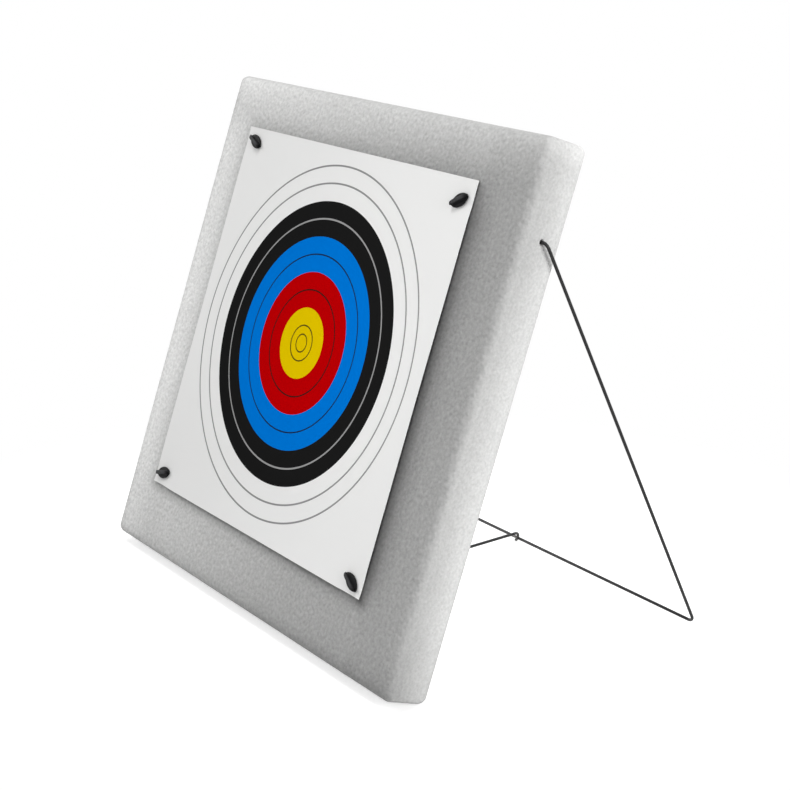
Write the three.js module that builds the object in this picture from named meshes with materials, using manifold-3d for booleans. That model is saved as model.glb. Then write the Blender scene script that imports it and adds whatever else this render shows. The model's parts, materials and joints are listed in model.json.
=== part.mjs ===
// Archery target stand: a foam boss that leans back on a bent wire leg frame, with a
// wire strut that ties the foot of the frame to the boss, and a ten-ring paper face
// held on by four plastic target pins.
// Millimetres and degrees. +Z is up, the face looks towards -Y, +X is the shooter's right.
import * as THREE from "three";
import { RoundedBoxGeometry } from "three/addons/geometries/RoundedBoxGeometry.js";
import { mergeVertices } from "three/addons/utils/BufferGeometryUtils.js";
import Module from "manifold-3d";

const wasm = await Module();
wasm.setup();

// Foam boss
const BOARD = {
  width: 584,
  height: 580,
  thickness: 55,
  edgeRadius: 10,
  edgeSegments: 4,
  lean: 18.6, // degrees back from upright
};

// Clearances: between pieces that touch, round what is pushed into a hole, and past the ends of cuts
const SEAT_GAP = 0.3;
const HOLE_CLEARANCE = 0.3;
const CUT_OVERRUN = 2;

// Printed sheet, and where its middle lies from the middle of the boss
const SHEET = { width: 441, height: 441, thickness: 0.4, right: -12.4, up: 10.8 };

// Ten-ring print: the ring centre from the sheet's middle, and the colours by ring number from the gold out
const PRINT = { ringWidth: 20, right: -1.2, up: 1.9, inkThickness: 0.2, colourGap: 0.3, circleSegments: 40 };
const COLOUR_BANDS = [
  { name: "print_gold", firstRing: 0, lastRing: 2, colour: 0xe2cc00 },
  { name: "print_red", firstRing: 2, lastRing: 4, colour: 0xbe0005 },
  { name: "print_blue", firstRing: 4, lastRing: 6, colour: 0x0073d7 },
  { name: "print_black", firstRing: 6, lastRing: 8, colour: 0x1e1e1e },
];

// Target pin: an oval flange, a wing to pull it by and a barbed nail
const PIN = {
  flangeLength: 26.4,
  flangeWidth: 14.2,
  flangeThickness: 2.2,
  wingLength: 25,
  wingHeight: 4.6,
  wingThickness: 4.4,
  edgeBevel: 0.7,
  nailDiameter: 4.4,
  nailLength: 42,
  pointLength: 10,
  barbDiameter: 5.8,
  barbPitch: 6.5,
  barbLead: 4, // the cone that leads each barb in
  barbCount: 4,
  sides: 16,
};
const WING_SQUARENESS = 3.2; // exponent of the wing's arched outline, 2 is an ellipse
// Each pin's place from the sheet's middle, in shares of the sheet's half sides, and the turn of its wing
const PIN_PLACE_SHARES = [
  { name: "pin_top_left", right: -0.91, up: 0.926, turn: -24 },
  { name: "pin_top_right", right: 0.906, up: 0.893, turn: 31 },
  { name: "pin_bottom_right", right: 0.914, up: -0.942, turn: -30 },
  { name: "pin_bottom_left", right: -0.923, up: -0.934, turn: 21 },
];

// Leg frame: one wire, pushed into both sides of the boss half way through its thickness
const LEG = {
  wireDiameter: 3.5,
  pivotHeight: 479, // up the boss from its bottom
  footBack: 235.2, // of the foot bar behind the pivot, along the floor
  sideGap: 5.5, // between the boss and the leg's wire
  endDepth: 50, // of each wire end in the foam
  mouthDiameter: 6.4, // of the hole where the turning wire has worn the foam's skin
  mouthDepth: 4,
  topBendRadius: 6,
  footBendRadius: 10,
};

// Brace strut: one wire, hooked over the foot bar, its other end pushed into the back of the boss
const STRUT = {
  wireDiameter: 3.5,
  hookClearance: 1, // between the hook and the bar, all round
  hookRight: -17, // of the middle of the boss
  hookSweep: 175, // degrees round the bar, so that the bar leaves forwards and down
  socketRight: 18,
  socketHeight: 18, // up the back of the boss from its bottom
  insertion: 32,
};
const WIRE_SIDES = 20;
const BEND_STEP = 15; // degrees between the rings of a bend

const degrees = THREE.MathUtils.degToRad;
const X = new THREE.Vector3(1, 0, 0);

// Materials
const plain = (color, roughness, metalness = 0) =>
  new THREE.MeshStandardMaterial({ color, roughness, metalness });
const whiteFoam = () => plain(0xe4e4e2, 0.85);
const paper = () => plain(0xededeb, 0.6);
const ink = (colour) => plain(colour, 0.55);
const blackPlastic = () => plain(0x1c1c1d, 0.4);
const blackWire = () => plain(0x2a2a2b, 0.4, 0.6);

// Solids from closed geometries, joined and cut, and back again
function solid(geometry) {
  const bare = geometry.clone();
  bare.deleteAttribute("normal");
  bare.deleteAttribute("uv");
  const merged = mergeVertices(bare);
  return new wasm.Manifold(
    new wasm.Mesh({
      numProp: 3,
      vertProperties: merged.attributes.position.array,
      triVerts: new Uint32Array(merged.index.array),
    }),
  );
}

function geometryOf(manifold) {
  const mesh = manifold.getMesh();
  const geometry = new THREE.BufferGeometry();
  geometry.setAttribute("position", new THREE.BufferAttribute(mesh.vertProperties, 3));
  geometry.setIndex(new THREE.BufferAttribute(mesh.triVerts, 1));
  geometry.computeVertexNormals();
  return geometry;
}

const joined = (geometries) =>
  geometryOf(geometries.map(solid).reduce((all, next) => all.add(next)));
const cut = (geometry, cutters) =>
  geometryOf(cutters.map(solid).reduce((left, cutter) => left.subtract(cutter), solid(geometry)));

// A round rod from one point to another, to bore a hole with; with a second radius it is a cone
function rod(from, to, radius, sides = PIN.sides, endRadius = radius) {
  const along = new THREE.Vector3().subVectors(to, from);
  const geometry = new THREE.CylinderGeometry(endRadius, radius, along.length(), sides);
  const turn = new THREE.Quaternion().setFromUnitVectors(
    new THREE.Vector3(0, 1, 0),
    along.clone().normalize(),
  );
  geometry.applyQuaternion(turn);
  geometry.translate(...from.clone().lerp(to, 0.5));
  return geometry;
}

// A bent wire: straight runs with round bends, one ring of points at each station
class WirePath extends THREE.Curve {
  constructor() {
    super();
    this.stations = [];
  }

  add(point, tangent) {
    this.stations.push({ point: point.clone(), tangent: tangent.clone().normalize() });
  }

  // A bend round a centre, from a starting station, turning about an axis
  bend(centre, start, tangent, axis, sweep) {
    const steps = Math.ceil(sweep / BEND_STEP);
    for (let i = 0; i <= steps; i++) {
      const turned = degrees((sweep * i) / steps);
      const arm = start.clone().sub(centre).applyAxisAngle(axis, turned);
      this.add(arm.add(centre), tangent.clone().applyAxisAngle(axis, turned));
    }
  }

  station(t) {
    return this.stations[Math.round(t * (this.stations.length - 1))];
  }

  getPointAt(t) {
    return this.station(t).point.clone();
  }

  getTangentAt(t) {
    return this.station(t).tangent.clone();
  }
}

// A wire through corner points, each inner corner rounded to its radius
function pathThrough(corners, radii) {
  const path = new WirePath();
  const last = corners.length - 1;
  const heading = (i) => new THREE.Vector3().subVectors(corners[i + 1], corners[i]).normalize();
  path.add(corners[0], heading(0));
  for (let i = 1; i < last; i++) {
    const before = heading(i - 1);
    const after = heading(i);
    const axis = new THREE.Vector3().crossVectors(before, after).normalize();
    const turn = before.angleTo(after);
    const setBack = radii[i - 1] * Math.tan(turn / 2);
    const start = corners[i].clone().addScaledVector(before, -setBack);
    const inward = new THREE.Vector3().crossVectors(axis, before);
    const centre = start.clone().addScaledVector(inward, radii[i - 1]);
    path.bend(centre, start, before, axis, THREE.MathUtils.radToDeg(turn));
  }
  path.add(corners[last], heading(last - 1));
  return path;
}

function wire(path, diameter) {
  const section = new THREE.Shape().absarc(0, 0, diameter / 2, 0, 2 * Math.PI);
  return new THREE.ExtrudeGeometry(section, {
    extrudePath: path,
    steps: path.stations.length - 1,
    curveSegments: WIRE_SIDES / 2,
  });
}

// Frames. The boss turns about the axis of its rounded bottom edge at the back, which rests on the floor.
// In the board frame +X is right, +Y goes from the face into the foam and +Z goes up the boss from its bottom.
const stand = new THREE.Group();
const leaning = new THREE.Group();
leaning.position.set(0, 0, BOARD.edgeRadius);
leaning.rotation.x = -degrees(BOARD.lean);
const board = new THREE.Group();
board.position.set(0, BOARD.edgeRadius - BOARD.thickness, -BOARD.edgeRadius);
leaning.add(board);
stand.add(leaning);
stand.updateMatrixWorld(true);

function place(name, geometry, material, parent) {
  const mesh = new THREE.Mesh(geometry, material);
  mesh.name = name;
  parent.add(mesh);
  return mesh;
}

// Where the pieces meet, worked out before they are made
const barHeight = STRUT.wireDiameter + STRUT.hookClearance + LEG.wireDiameter / 2;
const pivot = board.localToWorld(new THREE.Vector3(0, BOARD.thickness / 2, LEG.pivotHeight));
const legAngle = Math.atan2(LEG.footBack, pivot.z - barHeight); // behind straight down
const legLength = Math.hypot(LEG.footBack, pivot.z - barHeight);
const hookCentre = new THREE.Vector3(STRUT.hookRight, pivot.y + LEG.footBack, barHeight);
const socket = new THREE.Vector3(STRUT.socketRight, BOARD.thickness, STRUT.socketHeight);
board.localToWorld(socket);

// The strut lies in the upright plane through its socket and the hook, on a line that passes over the bar
const hookRadius = (LEG.wireDiameter + STRUT.wireDiameter) / 2 + STRUT.hookClearance;
const hookFromSocket = new THREE.Vector3().subVectors(hookCentre, socket);
const strutReach = Math.hypot(hookFromSocket.x, hookFromSocket.y);
const strutSkew = Math.atan2(-hookFromSocket.x, hookFromSocket.y);
const strutRise =
  Math.asin(hookRadius / Math.hypot(strutReach, hookFromSocket.z)) -
  Math.atan2(-hookFromSocket.z, strutReach);
const strutSlope = new THREE.Vector3(0, Math.cos(strutRise), Math.sin(strutRise)); // in that plane
const strutAlong = strutSlope.clone().applyAxisAngle(new THREE.Vector3(0, 0, 1), strutSkew);

// Foam boss, with the holes that the wires and pins make in it
const sheetMiddle = new THREE.Vector3(
  SHEET.right,
  -SEAT_GAP - SHEET.thickness,
  BOARD.height / 2 + SHEET.up,
);
const pinPlaces = PIN_PLACE_SHARES.map(({ name, right, up, turn }) => ({
  name,
  turn,
  seat: new THREE.Vector3(
    sheetMiddle.x + (right * SHEET.width) / 2,
    sheetMiddle.y - SEAT_GAP,
    sheetMiddle.z + (up * SHEET.height) / 2,
  ),
}));

function pinHole(seat) {
  const start = seat.clone().setY(-CUT_OVERRUN);
  const end = seat.clone().setY(seat.y + PIN.nailLength + CUT_OVERRUN);
  return rod(start, end, PIN.barbDiameter / 2 + HOLE_CLEARANCE);
}

// A point at a depth under the side of the boss, level with the leg frame's pivot
function underSide(side, depth) {
  return new THREE.Vector3(side * (BOARD.width / 2 - depth), BOARD.thickness / 2, LEG.pivotHeight);
}

// A leg's hole, and its worn mouth, a funnel that narrows to the hole
function legHoles(side) {
  const outside = underSide(side, -CUT_OVERRUN);
  const holeRadius = LEG.wireDiameter / 2 + HOLE_CLEARANCE;
  const mouthRadius = LEG.mouthDiameter / 2;
  const flare = (mouthRadius - holeRadius) / LEG.mouthDepth;
  const funnelRadius = mouthRadius + flare * CUT_OVERRUN;
  return [
    rod(outside, underSide(side, LEG.endDepth + CUT_OVERRUN), holeRadius, WIRE_SIDES),
    rod(outside, underSide(side, LEG.mouthDepth), funnelRadius, WIRE_SIDES, holeRadius),
  ];
}

function strutHole() {
  const out = STRUT.wireDiameter + CUT_OVERRUN;
  const start = board.worldToLocal(socket.clone().addScaledVector(strutAlong, out));
  const end = board.worldToLocal(
    socket.clone().addScaledVector(strutAlong, -STRUT.insertion - CUT_OVERRUN),
  );
  return rod(start, end, STRUT.wireDiameter / 2 + HOLE_CLEARANCE, WIRE_SIDES);
}

function foamBlock() {
  const boss = new RoundedBoxGeometry(
    BOARD.width,
    BOARD.thickness,
    BOARD.height,
    BOARD.edgeSegments,
    BOARD.edgeRadius,
  );
  boss.translate(0, BOARD.thickness / 2, BOARD.height / 2);
  const pinHoles = pinPlaces.map(({ seat }) => pinHole(seat));
  const holes = [...legHoles(-1), ...legHoles(1), strutHole(), ...pinHoles];
  return cut(boss, holes);
}

// The printed sheet, pierced by the pins, and its inks as thin films
function targetFace() {
  const sheet = new THREE.BoxGeometry(SHEET.width, SHEET.thickness, SHEET.height);
  sheet.translate(sheetMiddle.x, sheetMiddle.y + SHEET.thickness / 2, sheetMiddle.z);
  return cut(sheet, pinPlaces.map(({ seat }) => pinHole(seat)));
}

function colourBand({ firstRing, lastRing }) {
  const outer = lastRing * PRINT.ringWidth - PRINT.colourGap / 2;
  const inner = firstRing * PRINT.ringWidth + PRINT.colourGap / 2;
  const band = new THREE.Shape().absarc(0, 0, outer, 0, 2 * Math.PI);
  if (firstRing > 0) band.holes.push(new THREE.Path().absarc(0, 0, inner, 0, 2 * Math.PI, true));
  const film = new THREE.ExtrudeGeometry(band, {
    depth: PRINT.inkThickness,
    bevelEnabled: false,
    curveSegments: PRINT.circleSegments,
  });
  film.rotateX(degrees(90)); // the shape now stands up, and its thickness goes towards the shooter
  film.translate(
    sheetMiddle.x + PRINT.right,
    sheetMiddle.y - SEAT_GAP,
    sheetMiddle.z + PRINT.up,
  );
  return film;
}

// Target pin, about its nail: +Y into the foam, +X along the wing, y = 0 under the flange
function pinFlange() {
  const oval = new THREE.Shape().absellipse(
    0,
    0,
    PIN.flangeLength / 2 - PIN.edgeBevel,
    PIN.flangeWidth / 2 - PIN.edgeBevel,
    0,
    2 * Math.PI,
  );
  const flange = new THREE.ExtrudeGeometry(oval, {
    depth: PIN.flangeThickness - 2 * PIN.edgeBevel,
    bevelSize: PIN.edgeBevel,
    bevelThickness: PIN.edgeBevel,
    bevelSegments: 2,
    curveSegments: PIN.sides,
  });
  flange.translate(0, 0, PIN.edgeBevel);
  return flange.rotateX(degrees(90));
}

function pinWing() {
  const rise = PIN.wingHeight - PIN.edgeBevel;
  const half = PIN.wingLength / 2 - PIN.edgeBevel;
  const power = 2 / WING_SQUARENESS;
  const arch = [];
  for (let i = 0; i <= PIN.sides; i++) {
    const t = (Math.PI * i) / PIN.sides;
    const across = Math.sign(Math.cos(t)) * Math.abs(Math.cos(t)) ** power;
    arch.push(new THREE.Vector2(half * across, rise * Math.sin(t) ** power));
  }
  arch[0].y = arch[PIN.sides].y = 0;
  const root = -PIN.flangeThickness + 2 * PIN.edgeBevel; // the foot of the wing is sunk in the flange
  arch.push(new THREE.Vector2(-half, root), new THREE.Vector2(half, root));
  const wing = new THREE.ExtrudeGeometry(new THREE.Shape(arch), {
    depth: PIN.wingThickness - 2 * PIN.edgeBevel,
    bevelSize: PIN.edgeBevel,
    bevelThickness: PIN.edgeBevel,
    bevelSegments: 2,
  });
  wing.translate(0, PIN.flangeThickness, PIN.edgeBevel - PIN.wingThickness / 2);
  return wing.rotateX(degrees(180)); // the outline's height now goes towards the shooter
}

function pinNail() {
  const radius = PIN.nailDiameter / 2;
  const profile = [
    [0, -PIN.flangeThickness / 2],
    [radius, -PIN.flangeThickness / 2],
  ];
  const firstBarb = PIN.nailLength - PIN.pointLength - PIN.barbCount * PIN.barbPitch;
  for (let i = 0; i < PIN.barbCount; i++) {
    const y = firstBarb + i * PIN.barbPitch;
    profile.push([radius, y], [PIN.barbDiameter / 2, y], [radius, y + PIN.barbLead]);
  }
  profile.push([radius, PIN.nailLength - PIN.pointLength], [0, PIN.nailLength]);
  return new THREE.LatheGeometry(
    profile.map(([r, y]) => new THREE.Vector2(r, y)),
    PIN.sides,
  );
}

// Leg frame, about its pivot: the legs hang along -Z
function legFrame() {
  const inner = BOARD.width / 2 - LEG.endDepth;
  const outer = BOARD.width / 2 + LEG.sideGap + LEG.wireDiameter / 2;
  const corners = [
    [-inner, 0],
    [-outer, 0],
    [-outer, -legLength],
    [outer, -legLength],
    [outer, 0],
    [inner, 0],
  ].map(([x, z]) => new THREE.Vector3(x, 0, z));
  const radii = [LEG.topBendRadius, LEG.footBendRadius, LEG.footBendRadius, LEG.topBendRadius];
  return wire(pathThrough(corners, radii), LEG.wireDiameter);
}

// Brace strut, about the middle of its hook: the shank runs towards -Y, above the bar. The wire is two
// solids, the straight shank and the hook behind it, each a simple form by itself.
const hookStart = new THREE.Vector3(0, -Math.sin(strutRise), Math.cos(strutRise));
hookStart.multiplyScalar(hookRadius);

function strutShank() {
  const length = Math.sqrt(strutReach ** 2 + hookFromSocket.z ** 2 - hookRadius ** 2);
  const path = new WirePath();
  path.add(hookStart.clone().addScaledVector(strutSlope, -length - STRUT.insertion), strutSlope);
  path.add(hookStart.clone().addScaledVector(strutSlope, -SEAT_GAP), strutSlope);
  return wire(path, STRUT.wireDiameter);
}

function strutHook() {
  const path = new WirePath();
  path.bend(new THREE.Vector3(), hookStart, strutSlope, X.clone().negate(), STRUT.hookSweep);
  return wire(path, STRUT.wireDiameter);
}

// Assembly
place("foam_block", foamBlock(), whiteFoam(), board);
place("target_face", targetFace(), paper(), board);
for (const band of COLOUR_BANDS) place(band.name, colourBand(band), ink(band.colour), board);

const pinGeometry = joined([pinFlange(), pinWing(), pinNail()]);
for (const { name, seat, turn } of pinPlaces) {
  const pin = place(name, pinGeometry, blackPlastic(), board);
  pin.position.copy(seat);
  pin.rotation.y = -degrees(turn);
}

const legs = place("leg_frame", legFrame(), blackWire(), stand);
legs.position.copy(pivot);
legs.rotation.x = legAngle;

const strut = new THREE.Group();
strut.position.copy(hookCentre);
strut.rotation.z = strutSkew;
stand.add(strut);
place("brace_strut", strutShank(), blackWire(), strut);
place("strut_hook", strutHook(), blackWire(), strut);

// The origin is on the floor under the middle of everything
const bounds = new THREE.Box3().setFromObject(stand, true);
const middle = bounds.getCenter(new THREE.Vector3());
stand.position.set(-middle.x, -middle.y, -bounds.min.z);

const targetStand = new THREE.Group();
targetStand.add(stand);

export default targetStand;
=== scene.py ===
import json
import math

import bpy
from mathutils import Matrix, Vector, noise


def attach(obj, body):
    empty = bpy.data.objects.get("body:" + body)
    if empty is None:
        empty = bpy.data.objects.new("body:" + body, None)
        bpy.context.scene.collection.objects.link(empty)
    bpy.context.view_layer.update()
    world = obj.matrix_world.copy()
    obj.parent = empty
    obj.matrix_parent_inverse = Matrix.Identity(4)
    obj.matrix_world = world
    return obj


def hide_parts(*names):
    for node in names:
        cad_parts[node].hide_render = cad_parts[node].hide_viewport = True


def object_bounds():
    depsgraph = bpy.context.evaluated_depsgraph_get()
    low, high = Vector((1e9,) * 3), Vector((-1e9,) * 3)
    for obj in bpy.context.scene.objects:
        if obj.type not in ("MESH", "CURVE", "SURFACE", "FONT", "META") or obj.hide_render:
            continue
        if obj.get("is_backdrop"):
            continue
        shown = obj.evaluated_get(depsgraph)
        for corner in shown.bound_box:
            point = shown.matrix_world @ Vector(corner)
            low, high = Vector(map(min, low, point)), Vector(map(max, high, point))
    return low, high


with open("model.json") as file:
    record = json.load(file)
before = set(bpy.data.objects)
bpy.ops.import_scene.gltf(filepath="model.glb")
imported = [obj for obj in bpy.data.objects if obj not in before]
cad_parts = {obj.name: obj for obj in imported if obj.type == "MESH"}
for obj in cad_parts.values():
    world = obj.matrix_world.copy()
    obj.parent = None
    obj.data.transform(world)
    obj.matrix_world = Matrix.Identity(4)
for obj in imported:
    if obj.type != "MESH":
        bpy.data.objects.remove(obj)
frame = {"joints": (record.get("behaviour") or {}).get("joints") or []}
cad_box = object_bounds()

MM = 0.001
X, Y, Z = Vector((1, 0, 0)), Vector((0, 1, 0)), Vector((0, 0, 1))

# Foam boss
WIDTH = 584 * MM
HEIGHT = 580 * MM
THICKNESS = 55 * MM
EDGE_RADIUS = 10 * MM
SKIN_GRID = 3.6 * MM  # between the points of the foam's skin
EDGE_STEPS = 5  # rows of quads over half of a rounded edge
SKIN_PEBBLES = [(130 * MM, 0.3 * MM), (17 * MM, 0.14 * MM), (7.5 * MM, 0.12 * MM)]  # size and depth

# Printed sheet
SHEET_SIDE = 441 * MM
SHEET_MIDDLE = Vector((-12.4 * MM, 0, HEIGHT / 2 + 10.8 * MM))
SHEET_LEFT, SHEET_RIGHT = SHEET_MIDDLE.x - SHEET_SIDE / 2, SHEET_MIDDLE.x + SHEET_SIDE / 2
SHEET_LOW, SHEET_HIGH = SHEET_MIDDLE.z - SHEET_SIDE / 2, SHEET_MIDDLE.z + SHEET_SIDE / 2
SHEET_FRONT, SHEET_BACK = -0.7 * MM, -0.3 * MM
SHEET_GRID = 5 * MM
CURL_RIGHT, CURL_LEFT, CURL_HIGH, CURL_LOW = 0.9, 0.4, 0.9, 1.4  # how far each edge stands off, in mm
CURL_REACH = 50 * MM  # from the edge inwards
WAVE_SIZE = 140 * MM  # of the slow waves in the paper
PIN_HOLD, PIN_EASE = 11 * MM, 18 * MM  # held flat within the first, let go over the second
RING_WIDTH = 20 * MM
RINGS_MIDDLE = SHEET_MIDDLE + Vector((-1.2 * MM, 0, 1.9 * MM))
INK_EDGE = 0.12 * MM  # half the soft edge of the print

# Target pins
PIN_PLACES = {  # right and up from the sheet's middle in half sides, and the wing's turn in degrees
    "top_left": (-0.91, 0.926, -22),
    "top_right": (0.906, 0.893, 29),
    "bottom_right": (0.914, -0.942, -29),
    "bottom_left": (-0.923, -0.934, 14),
}
PIN_SEAT = -1 * MM  # the underside of the flange, in front of the foam's face
PIN_HALF_LENGTH = 13.2 * MM
FLANGE_HALF_WIDTH = 7.1 * MM
WING_ROOT = -1.2 * MM  # buried in the flange
WING_FOOT = -2.2 * MM  # where the wing leaves the flange
WING_HEIGHT = 3.8 * MM
WING_HALF_WIDTH = 3.0 * MM
WING_STEPS = 14
NAIL_BARBS = 4
PIN_SIDES, NAIL_SIDES = 72, 40
PIN_VOXEL = 0.28 * MM
PIN_HOLE_RADIUS = 3.2 * MM
PIN_HOLE_DEPTH = 43 * MM
PIN_MOUTH = PIN_HOLE_RADIUS * 1.06, 1.5 * MM  # radius and depth

# Wires
WIRE_RADIUS = 1.75 * MM
WIRE_SIDES = 28
WIRE_CHAMFER, CHAMFERED_END = 0.4 * MM, 0.8  # its length, and the size of the end that it leaves
WIRE_HOLE_RADIUS = 2.05 * MM
BEND_STEP = 6  # degrees
PIVOT_UP = 479 * MM
LEG_END_DEPTH = 50 * MM
LEG_SIDE_GAP = 5.5 * MM
LEG_MOUTH = 3.2 * MM, 4 * MM  # radius and depth
TOP_BEND, FOOT_BEND = 6 * MM, 10 * MM
HOOK_MIDDLE = Vector((-0.017, 0.202565, 0.006231))  # on the foot bar's middle line
HOOK_RADIUS = 4.5 * MM
HOOK_SWEEP = 175  # degrees
STRUT_SOCKET = Vector((0.018, -0.153612, 0.014374))
STRUT_INSERTION = 32 * MM
STRUT_MOUTH = 2.6 * MM, 2.5 * MM  # radius and depth
HOLE_SPARE = 2 * MM  # between a wire's end and the bottom of its hole
HOLE_SIDES = 32
MOUTH_STEPS = 5
MOUTH_WEAR = 0.07  # how far a mouth is from round, as a share of its radius

# Camera and studio
CAMERA_PLACE = 1.61566, -1.14754, 0.8134
CAMERA_RIGHT = 0.57644, 0.81701, 0.01409
CAMERA_UP = -0.23954, 0.15248, 0.95884
CAMERA_BACK = 0.78124, -0.55609, 0.28361
LENS_LENGTH, SENSOR_WIDTH = 82.25, 36  # in millimetres
LAMP_AIM = Vector((0, -0.05, 0.28))
LAMPS = {  # each lamp's place, side and level
    "key": (Vector((-8.0, -5.15, 4.52)), 4.4, 0.4),
    "side": (Vector((3.2, 0.1, 0.9)), 2.0, 0.75),
    "top": (Vector((0.0, -1.4, 5.1)), 1.4, 0.39),
    "rear": (Vector((-1.2, 4.4, 1.9)), 2.6, 0.42),
}
WORLD_LEVEL = 0.2
FULL_WHITE = 1.0
FLOOR_REACH = 8  # from the middle to each side
FLOOR_COLOUR, FLOOR_LIFT = 0.8, 0.6  # the lift is a glow that brings the lit floor up to white
SHADOW_KEPT, SHADOW_GONE = 0.32, 0.7  # the floor's shadows fade out between these distances

joints = {joint["name"]: joint for joint in frame["joints"]}
pivot = Vector(joints["leg_fold"]["pos_m"])
into_foam = -Vector(joints["top_left_pin_pull"]["axis"])
up_board = X.cross(into_foam)
board_corner = pivot - into_foam * THICKNESS / 2 - up_board * PIVOT_UP
BOARD = Matrix.Translation(board_corner) @ Matrix((X, into_foam, up_board)).transposed().to_4x4()


# Colours and materials

def srgb(red, green, blue):
    """A colour as it is seen on a screen, from 0 to 255, as Blender's linear colour."""
    shares = (channel / 255 for channel in (red, green, blue))
    return (*(s / 12.92 if s <= 0.04045 else ((s + 0.055) / 1.055) ** 2.4 for s in shares), 1)


def grey(level):
    return (level, level, level, 1)


class Value:
    """What a material's node gives out. Sums on numbers add Math nodes."""

    def __init__(self, finish, socket):
        self.finish = finish
        self.socket = socket

    def maths(self, operation, *others):
        inputs = dict(enumerate((self, *others)))
        return self.finish.node("ShaderNodeMath", {"operation": operation}, inputs)

    def __add__(self, other):
        return self.maths("ADD", other)

    def __sub__(self, other):
        return self.maths("SUBTRACT", other)

    def __mul__(self, other):
        return self.maths("MULTIPLY", other)

    def __truediv__(self, other):
        return self.maths("DIVIDE", other)

    def __rsub__(self, other):
        return self.finish.node("ShaderNodeMath", {"operation": "SUBTRACT"}, {0: other, 1: self})

    __radd__ = __add__
    __rmul__ = __mul__


class Finish:
    """A material, or the world, and the nodes that make it."""

    def __init__(self, name, owner=None, **constants):
        self.owner = owner or bpy.data.materials.new(name)
        self.owner.use_nodes = True
        self.tree = self.owner.node_tree
        self.shader = self.tree.nodes.get("Principled BSDF")
        for socket, value in constants.items():
            self.shader.inputs[socket.replace("_", " ")].default_value = value

    def node(self, kind, settings=(), inputs=(), output=0):
        made = self.tree.nodes.new(kind)
        for name, value in dict(settings).items():
            setattr(made, name, value)
        for key, value in dict(inputs).items():
            self.put(made.inputs[key], value)
        return Value(self, made.outputs[output]) if made.outputs else None

    def put(self, socket, value):
        if isinstance(value, Value):
            self.tree.links.new(value.socket, socket)
        else:
            socket.default_value = value

    def feed(self, name, value):
        """Links a value to the material's own shader."""
        self.put(self.shader.inputs[name], value)

    def place(self):
        """The point on the piece, in the piece's own coordinates."""
        return self.node("ShaderNodeTexCoord", output="Object")

    def parts(self, vector):
        """A vector's three numbers."""
        split = self.node("ShaderNodeSeparateXYZ", inputs={0: vector}).socket.node
        return [Value(self, socket) for socket in split.outputs]

    def grain(self, place, size, detail=2.0, roughness=0.5):
        """Soft noise from 0 to 1, with lumps of about that size."""
        inputs = {"Vector": place, "Scale": 1 / size, "Detail": detail, "Roughness": roughness}
        return self.node("ShaderNodeTexNoise", inputs=inputs, output="Fac")

    def pebbles(self, place, size):
        """Rounded cells of about that size: 0 in their middles, higher towards their rims."""
        settings = {"feature": "SMOOTH_F1"}
        inputs = {"Vector": place, "Scale": 1 / size, "Smoothness": 0.6}
        return self.node("ShaderNodeTexVoronoi", settings, inputs, output="Distance")

    def fade(self, value, start, end):
        """0 before start, 1 after end, and smooth between them. Start may be the higher."""
        settings = {"interpolation_type": "SMOOTHSTEP"}
        inputs = {"Value": value, "From Min": start, "From Max": end}
        return self.node("ShaderNodeMapRange", settings, inputs)

    def blend(self, share, under, over):
        """Two colours, mixed by a share."""
        return self.node("ShaderNodeMix", {"data_type": "RGBA"}, {0: share, 6: under, 7: over}, output=2)

    def bump(self, height, strength, distance):
        inputs = {"Strength": strength, "Distance": distance, "Height": height}
        self.feed("Normal", self.node("ShaderNodeBump", inputs=inputs))


def painted_sheet_shadow(foam, x, z, level):
    """The front's level, darker round the printed sheet by a painted shadow: most at its right side
    and least above it.
    """
    reach_right, reach_left, reach_above, reach_below = 20 * MM, 30 * MM, 20 * MM, 16 * MM
    left_start = SHEET_LEFT + 10 * MM
    beside = ((x - SHEET_RIGHT) / reach_right).maths("MAXIMUM", (left_start - x) / reach_left)
    beyond = ((z - SHEET_HIGH) / reach_above).maths("MAXIMUM", (SHEET_LOW - z) / reach_below)
    beside, beyond = beside.maths("MAXIMUM", 0), beyond.maths("MAXIMUM", 0)
    off_sheet = (beside * beside + beyond * beyond).maths("SQRT")

    # How deep the painted shadow is under, right of and above the sheet
    under = foam.fade(z, SHEET_LOW + 20 * MM, SHEET_LOW)
    above = foam.fade(z, SHEET_HIGH - 12 * MM, SHEET_HIGH + 2 * MM)
    at_right = foam.fade(x, SHEET_RIGHT - 25 * MM, SHEET_RIGHT)
    right_shadow = at_right * (0.38 - 0.16 * foam.fade(z, 360 * MM, 440 * MM))
    top_shadow = 0.08 + 0.09 * foam.fade(x, 40 * MM, -20 * MM)
    shadow_depth = (0.2 + (0.2 * under).maths("MAXIMUM", right_shadow)) * (1 - above) + above * top_shadow
    level = level * (1 - shadow_depth * foam.fade(off_sheet, 1.0, 0.0))
    # A painted shadow close under the sheet's lower edge
    level = level * (1 - 0.25 * under * foam.fade(off_sheet, 0.35, 0.0))

    # A broad shade along the sheet's right side
    upright = foam.fade(z, SHEET_HIGH + 8 * MM, SHEET_HIGH - 45 * MM)
    upright = upright * foam.fade(z, SHEET_LOW - 15 * MM, SHEET_LOW + 40 * MM)
    near_right = foam.fade(x, SHEET_RIGHT + 46 * MM, SHEET_RIGHT) * foam.fade(x, 0.0, SHEET_RIGHT)
    return level * (1 - 0.4 * upright * near_right)


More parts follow.
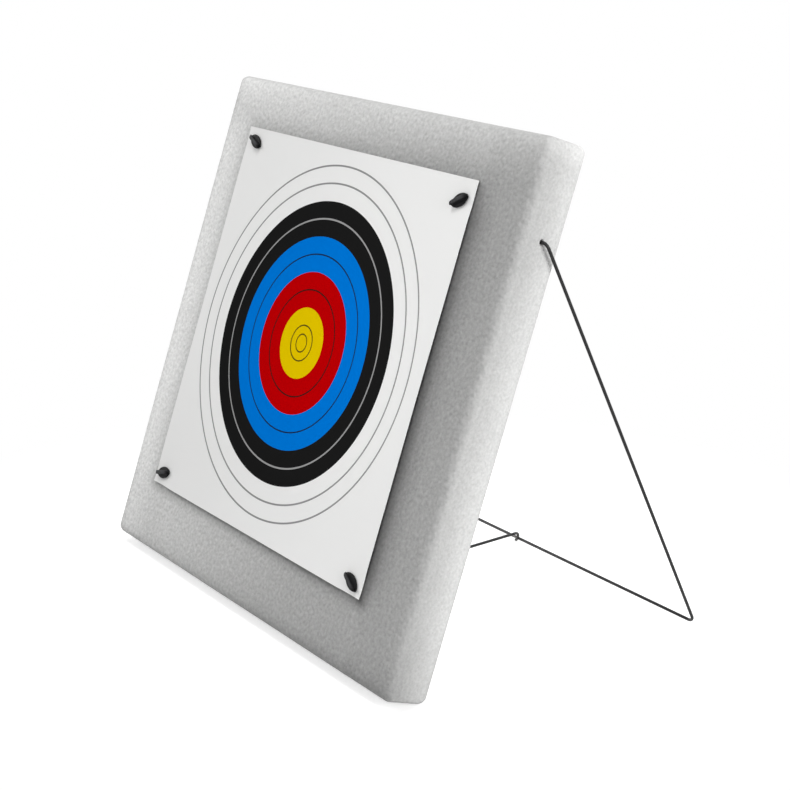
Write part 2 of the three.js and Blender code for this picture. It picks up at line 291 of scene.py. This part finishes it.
def painted_front_shading(foam, x, z):
    """Painted light and shade on the front: paler towards its left and upper edges, darker along the
    bottom.
    """
    half = WIDTH / 2
    # Painted light, paler towards the left
    across = 0.41 + 0.2 * foam.fade(x, 180 * MM, -250 * MM)

    # Painted light along the left edge, weaker towards its ends and a little stronger half way up
    left_edge = 0.265 * foam.fade(x, -205 * MM, -half - 8 * MM)
    left_edge = left_edge * (1 - 0.6 * foam.fade(z, 490 * MM, 560 * MM))
    left_edge = left_edge * (1 - 0.4 * foam.fade(z, 120 * MM, 40 * MM))
    half_way_up = foam.fade(z, 150 * MM, 250 * MM) * foam.fade(z, 440 * MM, 330 * MM)
    left_edge = left_edge + 0.03 * foam.fade(x, -205 * MM, -225 * MM) * half_way_up

    # Painted light along the upper edge, weaker left of the middle and at its right end
    top_level = 0.28 - 0.05 * foam.fade(x, -250 * MM, -205 * MM)
    top_level = top_level + 0.05 * foam.fade(x, -60 * MM, 40 * MM)
    top_level = top_level - 0.08 * foam.fade(x, 150 * MM, 280 * MM)
    top_edge = top_level * foam.fade(z, HEIGHT - 62 * MM, HEIGHT + 5 * MM)
    top_edge = top_edge - 0.05 * foam.fade(z, HEIGHT - 14 * MM, HEIGHT)

    # Painted light along the right edge, except at its ends
    right_edge = 0.03 * foam.fade(x, half - 47 * MM, half - 2 * MM)
    right_edge = right_edge + 0.02 * foam.fade(x, half - 14 * MM, half - 4 * MM)
    right_edge = right_edge * foam.fade(z, 20 * MM, 60 * MM) * foam.fade(z, 550 * MM, 510 * MM)

    # Painted shade on the left rim, along the foot and in a strip right of the sheet, and painted light
    # at the top right corner
    left_rim = 0.08 * foam.fade(x, -273 * MM, -284 * MM) + 0.12 * foam.fade(x, -281 * MM, -286.5 * MM)
    foot = 0.04 * foam.fade(z, 50 * MM, 5 * MM) + 0.07 * foam.fade(z, 22 * MM, 4 * MM)
    right_strip = 0.03 * foam.fade(x, 205 * MM, 222 * MM)
    right_corner = 0.06 * foam.fade(x, 170 * MM, 240 * MM) * foam.fade(z, 562 * MM, 574 * MM)
    level = across + left_edge.maths("MAXIMUM", top_edge) + right_edge + right_corner
    return painted_sheet_shadow(foam, x, z, level - left_rim - foot - right_strip)


def painted_side_shading(foam, y, z):
    """How pale the other sides are, in painted light and shade: paler to the back and the very
    top, darker low down and on the rearmost rim."""
    deeper = y / THICKNESS
    level = 0.435 + 0.265 * deeper + 0.04 * foam.fade(y, 14 * MM, 4 * MM)
    level = level - 0.03 * foam.fade(z, 300 * MM, 420 * MM) + 0.015 * foam.fade(z, 500 * MM, 570 * MM)
    top_end = 0.09 * foam.fade(z, 556 * MM, 570 * MM) + 0.05 * foam.fade(z, 570 * MM, 577 * MM)
    low_front = 0.07 * foam.fade(z, 250 * MM, 20 * MM) * (1.1 - deeper)
    low_end = 0.06 * foam.fade(z, 110 * MM, 15 * MM) + 0.03 * foam.fade(z, 32 * MM, 10 * MM)
    rear_rim = 0.1 * foam.fade(y, 43 * MM, 53 * MM)
    return level + top_end - low_front - low_end - rear_rim


def white_foam():
    """Expanded foam with a pebbled skin. Painted light and shade make it greyer on its face than on
    its edges, sides and back.
    """
    foam = Finish("white_foam", Roughness=0.86, Specular_IOR_Level=0.25)
    place = foam.place()
    x, y, z = foam.parts(place)
    sides = foam.fade(y, -1 * MM, 10 * MM)
    # Painted light and shade: the front's level and the paler sides' level, joined round the edges
    level = painted_front_shading(foam, x, z) * (1 - sides) + painted_side_shading(foam, y, z) * sides
    skin_mottle = 0.72 * (foam.grain(place, 4.4 * MM, 3.0, 0.5) - 0.5)
    side_mottle = 0.54 * (foam.grain(place, 3.0 * MM, 3.0, 0.6) - 0.5)
    mottle = skin_mottle * (1 - sides) + side_mottle * sides
    drift = foam.grain(place, 70 * MM) - 0.5
    level = level * (1 + mottle + 0.12 * drift)
    tint = foam.node("ShaderNodeCombineColor", inputs={0: level, 1: level, 2: 0.99 * level})
    foam.feed("Base Color", tint)
    cells = foam.pebbles(place, 4.0 * MM)
    fine = foam.grain(place, 1.6 * MM)
    foam.bump((1 - cells) + 0.35 * fine, 1.0, 1.0 * MM)
    return foam.owner


def face_paper():
    """Coated paper with the ten rings printed on it, two to a colour: gold, red, blue, black, white."""
    paper = Finish("face_paper", Specular_IOR_Level=0.0)
    place = paper.place()
    x, y, z = paper.parts(place)
    across = x - RINGS_MIDDLE.x
    upward = z - RINGS_MIDDLE.z
    radius = (across * across + upward * upward).maths("SQRT")

    def within(rings):
        return paper.fade(radius, rings * RING_WIDTH + INK_EDGE, rings * RING_WIDTH - INK_EDGE)

    def line(rings, width):
        off = (radius - rings * RING_WIDTH).maths("ABSOLUTE")
        return paper.fade(off, width / 2 + INK_EDGE, width / 2 - INK_EDGE)

    gold, red = srgb(239, 206, 0), srgb(198, 0, 5)
    blue, black = srgb(0, 124, 226), srgb(30, 30, 30)
    sheet = srgb(252, 252, 251)
    dark_line, grey_line, pale_line = srgb(30, 28, 26), srgb(150, 150, 150), srgb(165, 165, 165)
    fibre = paper.grain(place, 0.9 * MM, 3.0, 0.6)
    colour = sheet
    for rings in (10, 9):
        colour = paper.blend(line(rings, 2.0 * MM), colour, grey_line)
    for rings, ink in ((8, black), (6, blue), (4, red), (2, gold)):
        colour = paper.blend(within(rings), colour, ink)
    colour = paper.blend(line(7, 1.9 * MM), colour, pale_line)
    for rings in (5, 3, 1, 0.5):
        colour = paper.blend(0.9 * line(rings, 1.6 * MM), colour, dark_line)
    printed = paper.fade(y, SHEET_FRONT / 2 + SHEET_BACK / 2, SHEET_FRONT - 0.05 * MM)
    colour = paper.blend(printed, sheet, colour)
    # Painted shade: the paper darker towards its left and its bottom; the fibre adds a faint real tone
    # of its own
    painted_paper_shade = 0.105 * paper.fade(x, 200 * MM, -230 * MM) + 0.035 * paper.fade(z, 330 * MM, 80 * MM)
    paper.feed("Base Color", paper.blend(painted_paper_shade + 0.02 * fibre, colour, grey(0)))
    paper.feed("Roughness", 0.5 + 0.12 * fibre)
    paper.bump(fibre, 0.15, 0.06 * MM)
    return paper.owner


def black_plastic():
    """Moulded black polyethylene, with a faint flow texture and a painted highlight on the wing's top.
    """
    plastic = Finish("black_plastic", Specular_IOR_Level=0.12)
    place = plastic.place()
    y = plastic.parts(place)[1]
    flow = plastic.grain(place, 2.4 * MM, 3.0)
    # Painted highlight: the wing's top edge paler, broken up by the flow texture
    painted_ridge_highlight = plastic.fade(y, -4.8 * MM, -6.0 * MM)
    plastic.feed("Base Color", plastic.blend(painted_ridge_highlight * flow, srgb(16, 16, 17), srgb(70, 70, 72)))
    plastic.feed("Roughness", 0.5 + 0.16 * flow)
    plastic.bump(plastic.grain(place, 0.5 * MM), 0.12, 0.05 * MM)
    return plastic.owner


def black_wire():
    """Black-coated steel wire, the coating rubbed where the strut's hook bears on the foot bar."""
    wire = Finish("black_wire", Specular_IOR_Level=0.3)
    place = wire.place()
    to_hook = {0: place, 1: HOOK_MIDDLE}
    away = wire.node("ShaderNodeVectorMath", {"operation": "DISTANCE"}, to_hook, "Value")
    patchy = wire.grain(place, 1.4 * MM, 3.0, 0.6)
    near_hook = wire.fade(away, 11 * MM, 3 * MM)
    bare = wire.fade(patchy * near_hook, 0.34, 0.5)
    coat = wire.grain(place, 0.7 * MM)
    drawn = wire.grain(place, 30 * MM)
    black = wire.blend(drawn, srgb(20, 20, 21), srgb(34, 34, 35))
    wire.feed("Base Color", wire.blend(0.7 * bare, black, srgb(120, 118, 115)))
    wire.feed("Metallic", 0.7 * bare)
    wire.feed("Roughness", 0.34 + 0.14 * coat)
    wire.bump(coat, 0.2, 0.05 * MM)
    return wire.owner


# Meshes

def piece(name, points, faces, material=None, place=None):
    mesh = bpy.data.meshes.new(name)
    mesh.from_pydata([tuple(point) for point in points], [], faces)
    made = bpy.data.objects.new(name, mesh)
    bpy.context.scene.collection.objects.link(made)
    if material:
        mesh.materials.append(material)
    if place:
        made.matrix_world = place
    return made


def apply_modifiers(made):
    """The piece's mesh as its modifiers leave it."""
    shown = made.evaluated_get(bpy.context.evaluated_depsgraph_get())
    mesh = bpy.data.meshes.new_from_object(shown)
    made.modifiers.clear()
    made.data = mesh


def smooth(made, crease):
    """Smooth shading, with a sharp edge wherever two faces meet at more than that many degrees."""
    made.data.shade_smooth()
    made.data.set_sharp_from_angle(angle=math.radians(crease))


def dress(made, body, slot, *nodes):
    """Puts a piece on its body and hides the nodes that it stands for. The slot is not used."""
    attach(made, body)
    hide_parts(*nodes)


def even_lines(low, high, step):
    count = round((high - low) / step)
    return [low + (high - low) * i / count for i in range(count + 1)]


def edged_lines(side):
    """Grid lines over a side with rounded edges, evenly spaced round them, from 0 to the side."""
    inner = EDGE_RADIUS, side - EDGE_RADIUS
    turns = [math.tan(math.radians(45) * i / EDGE_STEPS) for i in range(1, EDGE_STEPS + 1)]
    low = [inner[0] - EDGE_RADIUS * turn for turn in reversed(turns)]
    high = [inner[1] + EDGE_RADIUS * turn for turn in turns]
    return low + even_lines(*inner, SKIN_GRID) + high


def gridded_box(lines, shape):
    """Points and quads over a box with those grid lines; shape moves each point to its place."""
    last = [len(row) - 1 for row in lines]
    numbers, points, faces = {}, [], []

    def number(key):
        if key not in numbers:
            numbers[key] = len(points)
            points.append(shape(Vector(row[i] for row, i in zip(lines, key))))
        return numbers[key]

    for axis in range(3):
        right, up = (axis + 1) % 3, (axis + 2) % 3
        for end in (0, last[axis]):
            turns = ((0, 0), (1, 0), (1, 1), (0, 1)) if end else ((0, 0), (0, 1), (1, 1), (1, 0))
            for i in range(last[right]):
                for j in range(last[up]):
                    quad = []
                    for di, dj in turns:
                        key = [0, 0, 0]
                        key[axis], key[right], key[up] = end, i + di, j + dj
                        quad.append(number(tuple(key)))
                    faces.append(quad)
    return points, faces


def turned(profile, sides, ring):
    """Points and faces of a closed solid about +Y. The profile's pairs are a size and a y, and both of
    its ends lie on the axis; ring gives a point's x and z from its size, its y and its turn."""
    points = [Vector((0, profile[0][1], 0))]
    for size, y in profile[1:-1]:
        for i in range(sides):
            x, z = ring(size, y, 2 * math.pi * i / sides)
            points.append(Vector((x, y, z)))
    points.append(Vector((0, profile[-1][1], 0)))
    rows = len(profile) - 2
    final = len(points) - 1
    faces = []
    for i in range(sides):
        j = (i + 1) % sides
        faces.append((0, 1 + i, 1 + j))
        for row in range(rows - 1):
            start = 1 + row * sides
            faces.append((start + i, start + sides + i, start + sides + j, start + j))
        start = 1 + (rows - 1) * sides
        faces.append((start + i, final, start + j))
    return points, faces


def round_ring(size, y, turn):
    return size * math.cos(turn), size * math.sin(turn)


def shaped(share, power):
    """A sine or cosine bent by a power, its sign kept: below 1 squarer, above 1 more pointed."""
    return math.copysign(abs(share) ** power, share)


def joined(parts):
    """Several (points, faces) as one."""
    points, faces = [], []
    for some_points, some_faces in parts:
        start = len(points)
        points += some_points
        faces += [[start + i for i in face] for face in some_faces]
    return points, faces


def moved(part, place):
    points, faces = part
    return [place @ point for point in points], faces


# Holes that the wires and pins make in the foam

def hole(start, direction, radius, depth, mouth_radius, mouth_depth):
    """A hole from a point on the skin inwards, with a worn mouth that is not quite round. The solid that
    cuts it starts in front of the skin, flared."""
    profile = [(0, -4 * MM), (mouth_radius * 1.45, -4 * MM), (mouth_radius * 1.3, -1 * MM)]
    for i in range(MOUTH_STEPS + 1):
        share = i / MOUTH_STEPS
        profile.append((radius + (mouth_radius - radius) * (1 - share) ** 2, mouth_depth * share))
    profile += [(radius, depth), (0, depth)]

    # start.x gives each hole wear of its own
    def worn_ring(size, y, turn):
        wear = 1 + MOUTH_WEAR * noise.noise(Vector((math.cos(turn), math.sin(turn), start.x * 90)))
        return round_ring(size * wear if y < mouth_depth * 0.9 else size, y, turn)

    turn_to = direction.to_track_quat("Y", "Z").to_matrix().to_4x4()
    return moved(turned(profile, HOLE_SIDES, worn_ring), Matrix.Translation(start) @ turn_to)


def pin_seat(name):
    right, up, _ = PIN_PLACES[name]
    half = SHEET_SIDE / 2
    return SHEET_MIDDLE + Vector((right * half, PIN_SEAT, up * half))


def pin_holes():
    seats = [pin_seat(name) for name in PIN_PLACES]
    starts = [Vector((seat.x, 0, seat.z)) for seat in seats]
    return [hole(start, Y, PIN_HOLE_RADIUS, PIN_HOLE_DEPTH, *PIN_MOUTH) for start in starts]


def wire_holes():
    holes = []
    for side in (-1, 1):
        start = Vector((-side * WIDTH / 2, THICKNESS / 2, PIVOT_UP))
        holes.append(hole(start, side * X, WIRE_HOLE_RADIUS, LEG_END_DEPTH + HOLE_SPARE, *LEG_MOUTH))
    to_board = BOARD.inverted()
    start = to_board @ STRUT_SOCKET
    inward = -(to_board.to_3x3() @ Vector(joints["strut_pull"]["axis"]))
    holes.append(hole(start, inward, WIRE_HOLE_RADIUS, STRUT_INSERTION + HOLE_SPARE, *STRUT_MOUTH))
    return holes


def cut(made, parts):
    """Takes closed solids out of a piece."""
    cutter = piece("cutter", *joined(parts), place=made.matrix_world.copy())
    boolean = made.modifiers.new("holes", "BOOLEAN")
    boolean.operation = "DIFFERENCE"
    boolean.solver = "EXACT"
    boolean.object = cutter
    apply_modifiers(made)
    bpy.data.objects.remove(cutter)


# The pieces

def foam_boss():
    """The boss, its skin pebbled inwards so that nothing stands proud of its flat faces."""
    high = Vector((WIDTH, THICKNESS, HEIGHT))

    def shape(flat):
        core = Vector(max(EDGE_RADIUS, min(side - EDGE_RADIUS, c)) for c, side in zip(flat, high))
        out = (flat - core).normalized()
        point = core + out * EDGE_RADIUS - X * WIDTH / 2
        depth = sum(d * (0.5 + 0.5 * noise.noise(point / size)) for size, d in SKIN_PEBBLES)
        return point - out * depth

    lines = [edged_lines(side) for side in high]
    boss = piece("foam_boss", *gridded_box(lines, shape), white_foam(), BOARD)
    cut(boss, wire_holes() + pin_holes())
    smooth(boss, 50)
    dress(boss, "board", "white_foam", "foam_block")


def sheet_lift(x, z):
    """How far the paper stands off the foam: not under the pins, a little between them, and more at
    its curled edges."""
    half = SHEET_SIDE / 2
    right, up = x - SHEET_MIDDLE.x, z - SHEET_MIDDLE.z
    nearest = min(math.hypot(right - p[0] * half, up - p[1] * half) for p in PIN_PLACES.values())
    free = min(1, max(0, (nearest - PIN_HOLD) / PIN_EASE))
    free = free * free * (3 - 2 * free)
    curls = (right, CURL_RIGHT), (-right, CURL_LEFT), (up, CURL_HIGH), (-up, CURL_LOW)
    curl = max(height * max(0, 1 - (half - reach) / CURL_REACH) ** 2 for reach, height in curls)
    wave = 0.2 + 0.2 * noise.noise(Vector((x, z, 0)) / WAVE_SIZE)
    return free * (curl + wave) * MM


def printed_face():
    lines = [
        even_lines(SHEET_LEFT, SHEET_RIGHT, SHEET_GRID),
        [SHEET_FRONT, SHEET_BACK],
        even_lines(SHEET_LOW, SHEET_HIGH, SHEET_GRID),
    ]
    box = gridded_box(lines, lambda flat: flat - Y * sheet_lift(flat.x, flat.z))
    face = piece("printed_face", *box, face_paper(), BOARD)
    cut(face, pin_holes())
    smooth(face, 40)
    dress(
        face, "board", "face_paper",
        "target_face", "print_gold", "print_red", "print_blue", "print_black",
    )


def pin_flange():
    """The leaf-shaped flange that holds the paper down."""
    profile = [  # share of the flange's outline, and y in mm
        (0, 0), (0.90, 0), (0.965, -0.2), (0.995, -0.6), (1, -1.0),
        (0.985, -1.5), (0.94, -1.95), (0.85, -2.2), (0.4, -2.35), (0, -2.4),
    ]

    def leaf(size, y, turn):
        across = shaped(math.sin(turn), 1.35)
        return PIN_HALF_LENGTH * size * math.cos(turn), FLANGE_HALF_WIDTH * size * across

    return turned([(size, y * MM) for size, y in profile], PIN_SIDES, leaf)


def pin_wing():
    """The wing between finger and thumb: an arched blade that overhangs its root at both ends."""
    crown = 3.2  # how square the wing's top edge is
    profile = [(0, WING_ROOT), (1, WING_ROOT)]
    for i in range(WING_STEPS + 1):
        share = math.sin(math.radians(90) * i / WING_STEPS)
        profile.append(((1 - share**crown) ** (1 / crown), WING_FOOT - WING_HEIGHT * share))
    profile[-1] = (0, WING_FOOT - WING_HEIGHT)

    def blade(size, y, turn):
        along, across = shaped(math.cos(turn), 0.42), shaped(math.sin(turn), 0.5)
        waist = 0.8 + 0.2 * (along * size) ** 2
        risen = max(0, (WING_FOOT - y) / WING_HEIGHT)
        draft = 1 - 0.12 * risen
        overhang = 0.66 + 0.34 * min(1, 2 * risen) ** 0.7
        thickness = WING_HALF_WIDTH * waist * draft * min(1, 1.6 * size)
        return PIN_HALF_LENGTH * size * overhang * along, thickness * across

    return turned(profile, PIN_SIDES, blade)


def pin_nail():
    """The nail, ringed with barbs that grip the foam."""
    shank, barb = 2.2, 2.9  # radii; everything here is in mm
    first_barb, barb_step = 6, 6.5
    profile = [(0, -1.1), (shank, -1.1), (shank, first_barb)]
    for i in range(NAIL_BARBS):
        y = first_barb + barb_step * i
        profile += [(shank, y), (barb, y + 0.25), (barb, y + 0.5), (shank, y + 4)]
    profile += [(shank, 32), (1.5, 36), (0.7, 40), (0, 42)]
    return turned([(size * MM, y * MM) for size, y in profile], NAIL_SIDES, round_ring)


def target_pins():
    """Four pins of one moulding: flange, wing and nail grown together with soft fillets."""
    plastic = black_plastic()
    moulding = piece("moulding", *joined([pin_flange(), pin_wing(), pin_nail()]), plastic)
    remesh = moulding.modifiers.new("one skin", "REMESH")
    remesh.mode = "VOXEL"
    remesh.voxel_size = PIN_VOXEL
    soften = moulding.modifiers.new("fillets", "SMOOTH")
    soften.factor = 0.5
    soften.iterations = 3
    apply_modifiers(moulding)
    moulding.data.shade_smooth()
    for name, (_, _, turn) in PIN_PLACES.items():
        pin = bpy.data.objects.new(f"target_pin_{name}", moulding.data)
        bpy.context.scene.collection.objects.link(pin)
        turned_by = Matrix.Rotation(math.radians(-turn), 4, "Y")
        pin.matrix_world = BOARD @ Matrix.Translation(pin_seat(name)) @ turned_by
        dress(pin, f"{name}_pin", "black_plastic", f"pin_{name}")
    bpy.data.objects.remove(moulding)


def bend(centre, start, heading, sweep):
    """Stations round a bend: each is a point and the wire's heading there."""
    arm = start - centre
    axis = arm.cross(heading).normalized()
    count = math.ceil(sweep / BEND_STEP)
    turns = [Matrix.Rotation(math.radians(sweep * i / count), 3, axis) for i in range(count + 1)]
    return [(centre + turn @ arm, turn @ heading) for turn in turns]


def path_through(corners, radii):
    """Stations of a wire through corner points, each inner corner rounded to its radius."""
    headings = [(b - a).normalized() for a, b in zip(corners, corners[1:])]
    stations = [(corners[0], headings[0])]
    for corner, before, after, radius in zip(corners[1:-1], headings, headings[1:], radii):
        turn = before.angle(after)
        start = corner - before * radius * math.tan(turn / 2)
        inward = before.cross(after).normalized().cross(before)
        stations += bend(start + inward * radius, start, before, math.degrees(turn))
    stations.append((corners[-1], headings[-1]))
    return stations


def wire_along(stations):
    """Points and faces of a round wire, its cut ends slightly chamfered."""
    (first, heading), (last, leaving) = stations[0], stations[-1]
    rows = [(first, heading, CHAMFERED_END), (first + heading * WIRE_CHAMFER, heading, 1)]
    rows += [(point, along, 1) for point, along in stations[1:-1]]
    rows += [(last - leaving * WIRE_CHAMFER, leaving, 1), (last, leaving, CHAMFERED_END)]
    points, faces = [], []
    across = heading.orthogonal().normalized()
    before = heading
    for point, along, size in rows:
        across = before.rotation_difference(along) @ across
        before = along
        other = along.cross(across)
        for i in range(WIRE_SIDES):
            turn = 2 * math.pi * i / WIRE_SIDES
            out = across * math.cos(turn) + other * math.sin(turn)
            points.append(point + out * WIRE_RADIUS * size)
    for row in range(len(rows) - 1):
        start = row * WIRE_SIDES
        for i in range(WIRE_SIDES):
            j = (i + 1) % WIRE_SIDES
            faces.append((start + i, start + j, start + WIRE_SIDES + j, start + WIRE_SIDES + i))
    faces.append(tuple(reversed(range(WIRE_SIDES))))
    faces.append(tuple(range(len(points) - WIRE_SIDES, len(points))))
    return points, faces


def folding_leg(material):
    """The leg frame: one wire, pushed into both sides of the boss and bent round along the floor."""
    inner = WIDTH / 2 - LEG_END_DEPTH
    outer = WIDTH / 2 + LEG_SIDE_GAP + WIRE_RADIUS
    level = Vector()
    down = Vector((0, HOOK_MIDDLE.y - pivot.y, HOOK_MIDDLE.z - pivot.z))
    left = (-inner, level), (-outer, level), (-outer, down)
    right = (outer, down), (outer, level), (inner, level)
    corners = [pivot + X * x + drop for x, drop in (*left, *right)]
    stations = path_through(corners, (TOP_BEND, FOOT_BEND, FOOT_BEND, TOP_BEND))
    leg = piece("folding_leg", *wire_along(stations), material)
    smooth(leg, 60)
    dress(leg, "legs", "black_wire", "leg_frame")


def brace(material):
    """The strut: one wire from the foam to its hook over the foot bar."""
    along = Vector(joints["strut_pull"]["axis"]).normalized()
    level = along.cross(Z).normalized()
    up = level.cross(along)
    start = HOOK_MIDDLE + up * HOOK_RADIUS
    reach = (start - STRUT_SOCKET).dot(along)
    stations = [(start - along * (reach + STRUT_INSERTION), along)]
    stations += bend(HOOK_MIDDLE, start, along, HOOK_SWEEP)
    strut = piece("strut_wire", *wire_along(stations), material)
    smooth(strut, 60)
    dress(strut, "strut", "black_wire", "brace_strut", "strut_hook")


# Studio

def lamp(name, place, size, level):
    """A square soft light that gives a white surface at the aim, facing it, that share of full white."""
    light = bpy.data.lights.new(name, "AREA")
    light.size = size
    light.energy = level * math.pi**2 * (LAMP_AIM - place).length_squared
    made = bpy.data.objects.new(name, light)
    made.location = place
    made.rotation_euler = (LAMP_AIM - place).to_track_quat("-Z", "Y").to_euler()
    bpy.context.scene.collection.objects.link(made)


def seen_directly(finish):
    """1 for rays from the camera, and for those that metal and gloss send on."""
    rays = finish.node("ShaderNodeLightPath").socket.node.outputs
    names = "Is Camera Ray", "Is Glossy Ray", "Is Transmission Ray"
    camera_ray, glossy, through = (Value(finish, rays[name]) for name in names)
    return camera_ray.maths("MAXIMUM", glossy).maths("MAXIMUM", through)


def clear(finish):
    for node in list(finish.tree.nodes):
        finish.tree.nodes.remove(node)


def studio_world():
    world = bpy.data.worlds.new("studio")
    bpy.context.scene.world = world
    air = Finish("studio", world)
    clear(air)
    lit = air.node("ShaderNodeBackground", inputs={"Color": grey(1), "Strength": WORLD_LEVEL})
    white = air.node("ShaderNodeBackground", inputs={"Color": grey(1), "Strength": FULL_WHITE})
    shown = air.node("ShaderNodeMixShader", inputs={0: seen_directly(air), 1: lit, 2: white})
    air.node("ShaderNodeOutputWorld", inputs={"Surface": shown})


def studio_floor():
    """A pale floor that keeps the object's shadow and is plain white further off."""
    turns = (-1, -1), (1, -1), (1, 1), (-1, 1)
    corners = [Vector((x, y, 0)) * FLOOR_REACH for x, y in turns]
    pale = Finish("studio_floor")
    clear(pale)
    off_middle = {0: pale.place()}
    distance = pale.node("ShaderNodeVectorMath", {"operation": "LENGTH"}, off_middle, "Value")
    further_off = pale.fade(distance, SHADOW_KEPT, SHADOW_GONE)
    matte = pale.node("ShaderNodeBsdfDiffuse", inputs={"Color": grey(FLOOR_COLOUR)})
    glow = pale.node("ShaderNodeEmission", inputs={"Color": grey(1), "Strength": FLOOR_LIFT})
    near = pale.node("ShaderNodeAddShader", inputs={0: matte, 1: glow})
    white = pale.node("ShaderNodeEmission", inputs={"Color": grey(1), "Strength": FULL_WHITE})
    shown = pale.node("ShaderNodeMixShader", inputs={0: further_off, 1: near, 2: white})
    floor_mix = pale.node("ShaderNodeMixShader", inputs={0: seen_directly(pale), 1: matte, 2: shown})
    pale.node("ShaderNodeOutputMaterial", inputs={"Surface": floor_mix})
    floor = piece("studio_floor", corners, [(0, 1, 2, 3)], pale.owner)
    floor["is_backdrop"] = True


def camera():
    lens = bpy.data.cameras.new("camera")
    lens.lens = LENS_LENGTH
    lens.sensor_width = SENSOR_WIDTH
    made = bpy.data.objects.new("camera", lens)
    turn = Matrix((CAMERA_RIGHT, CAMERA_UP, CAMERA_BACK)).transposed().to_4x4()
    made.matrix_world = Matrix.Translation(CAMERA_PLACE) @ turn
    bpy.context.scene.collection.objects.link(made)
    bpy.context.scene.camera = made


camera()
foam_boss()
printed_face()
target_pins()
wire_finish = black_wire()
folding_leg(wire_finish)
brace(wire_finish)

for name, (place, size, level) in LAMPS.items():
    lamp(name, place, size, level)
studio_world()
studio_floor()
bpy.context.scene.view_settings.view_transform = "Standard"

sizes = {"cad": cad_box, "visual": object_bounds()}
{name: [list(corner) for corner in box] for name, box in sizes.items()}
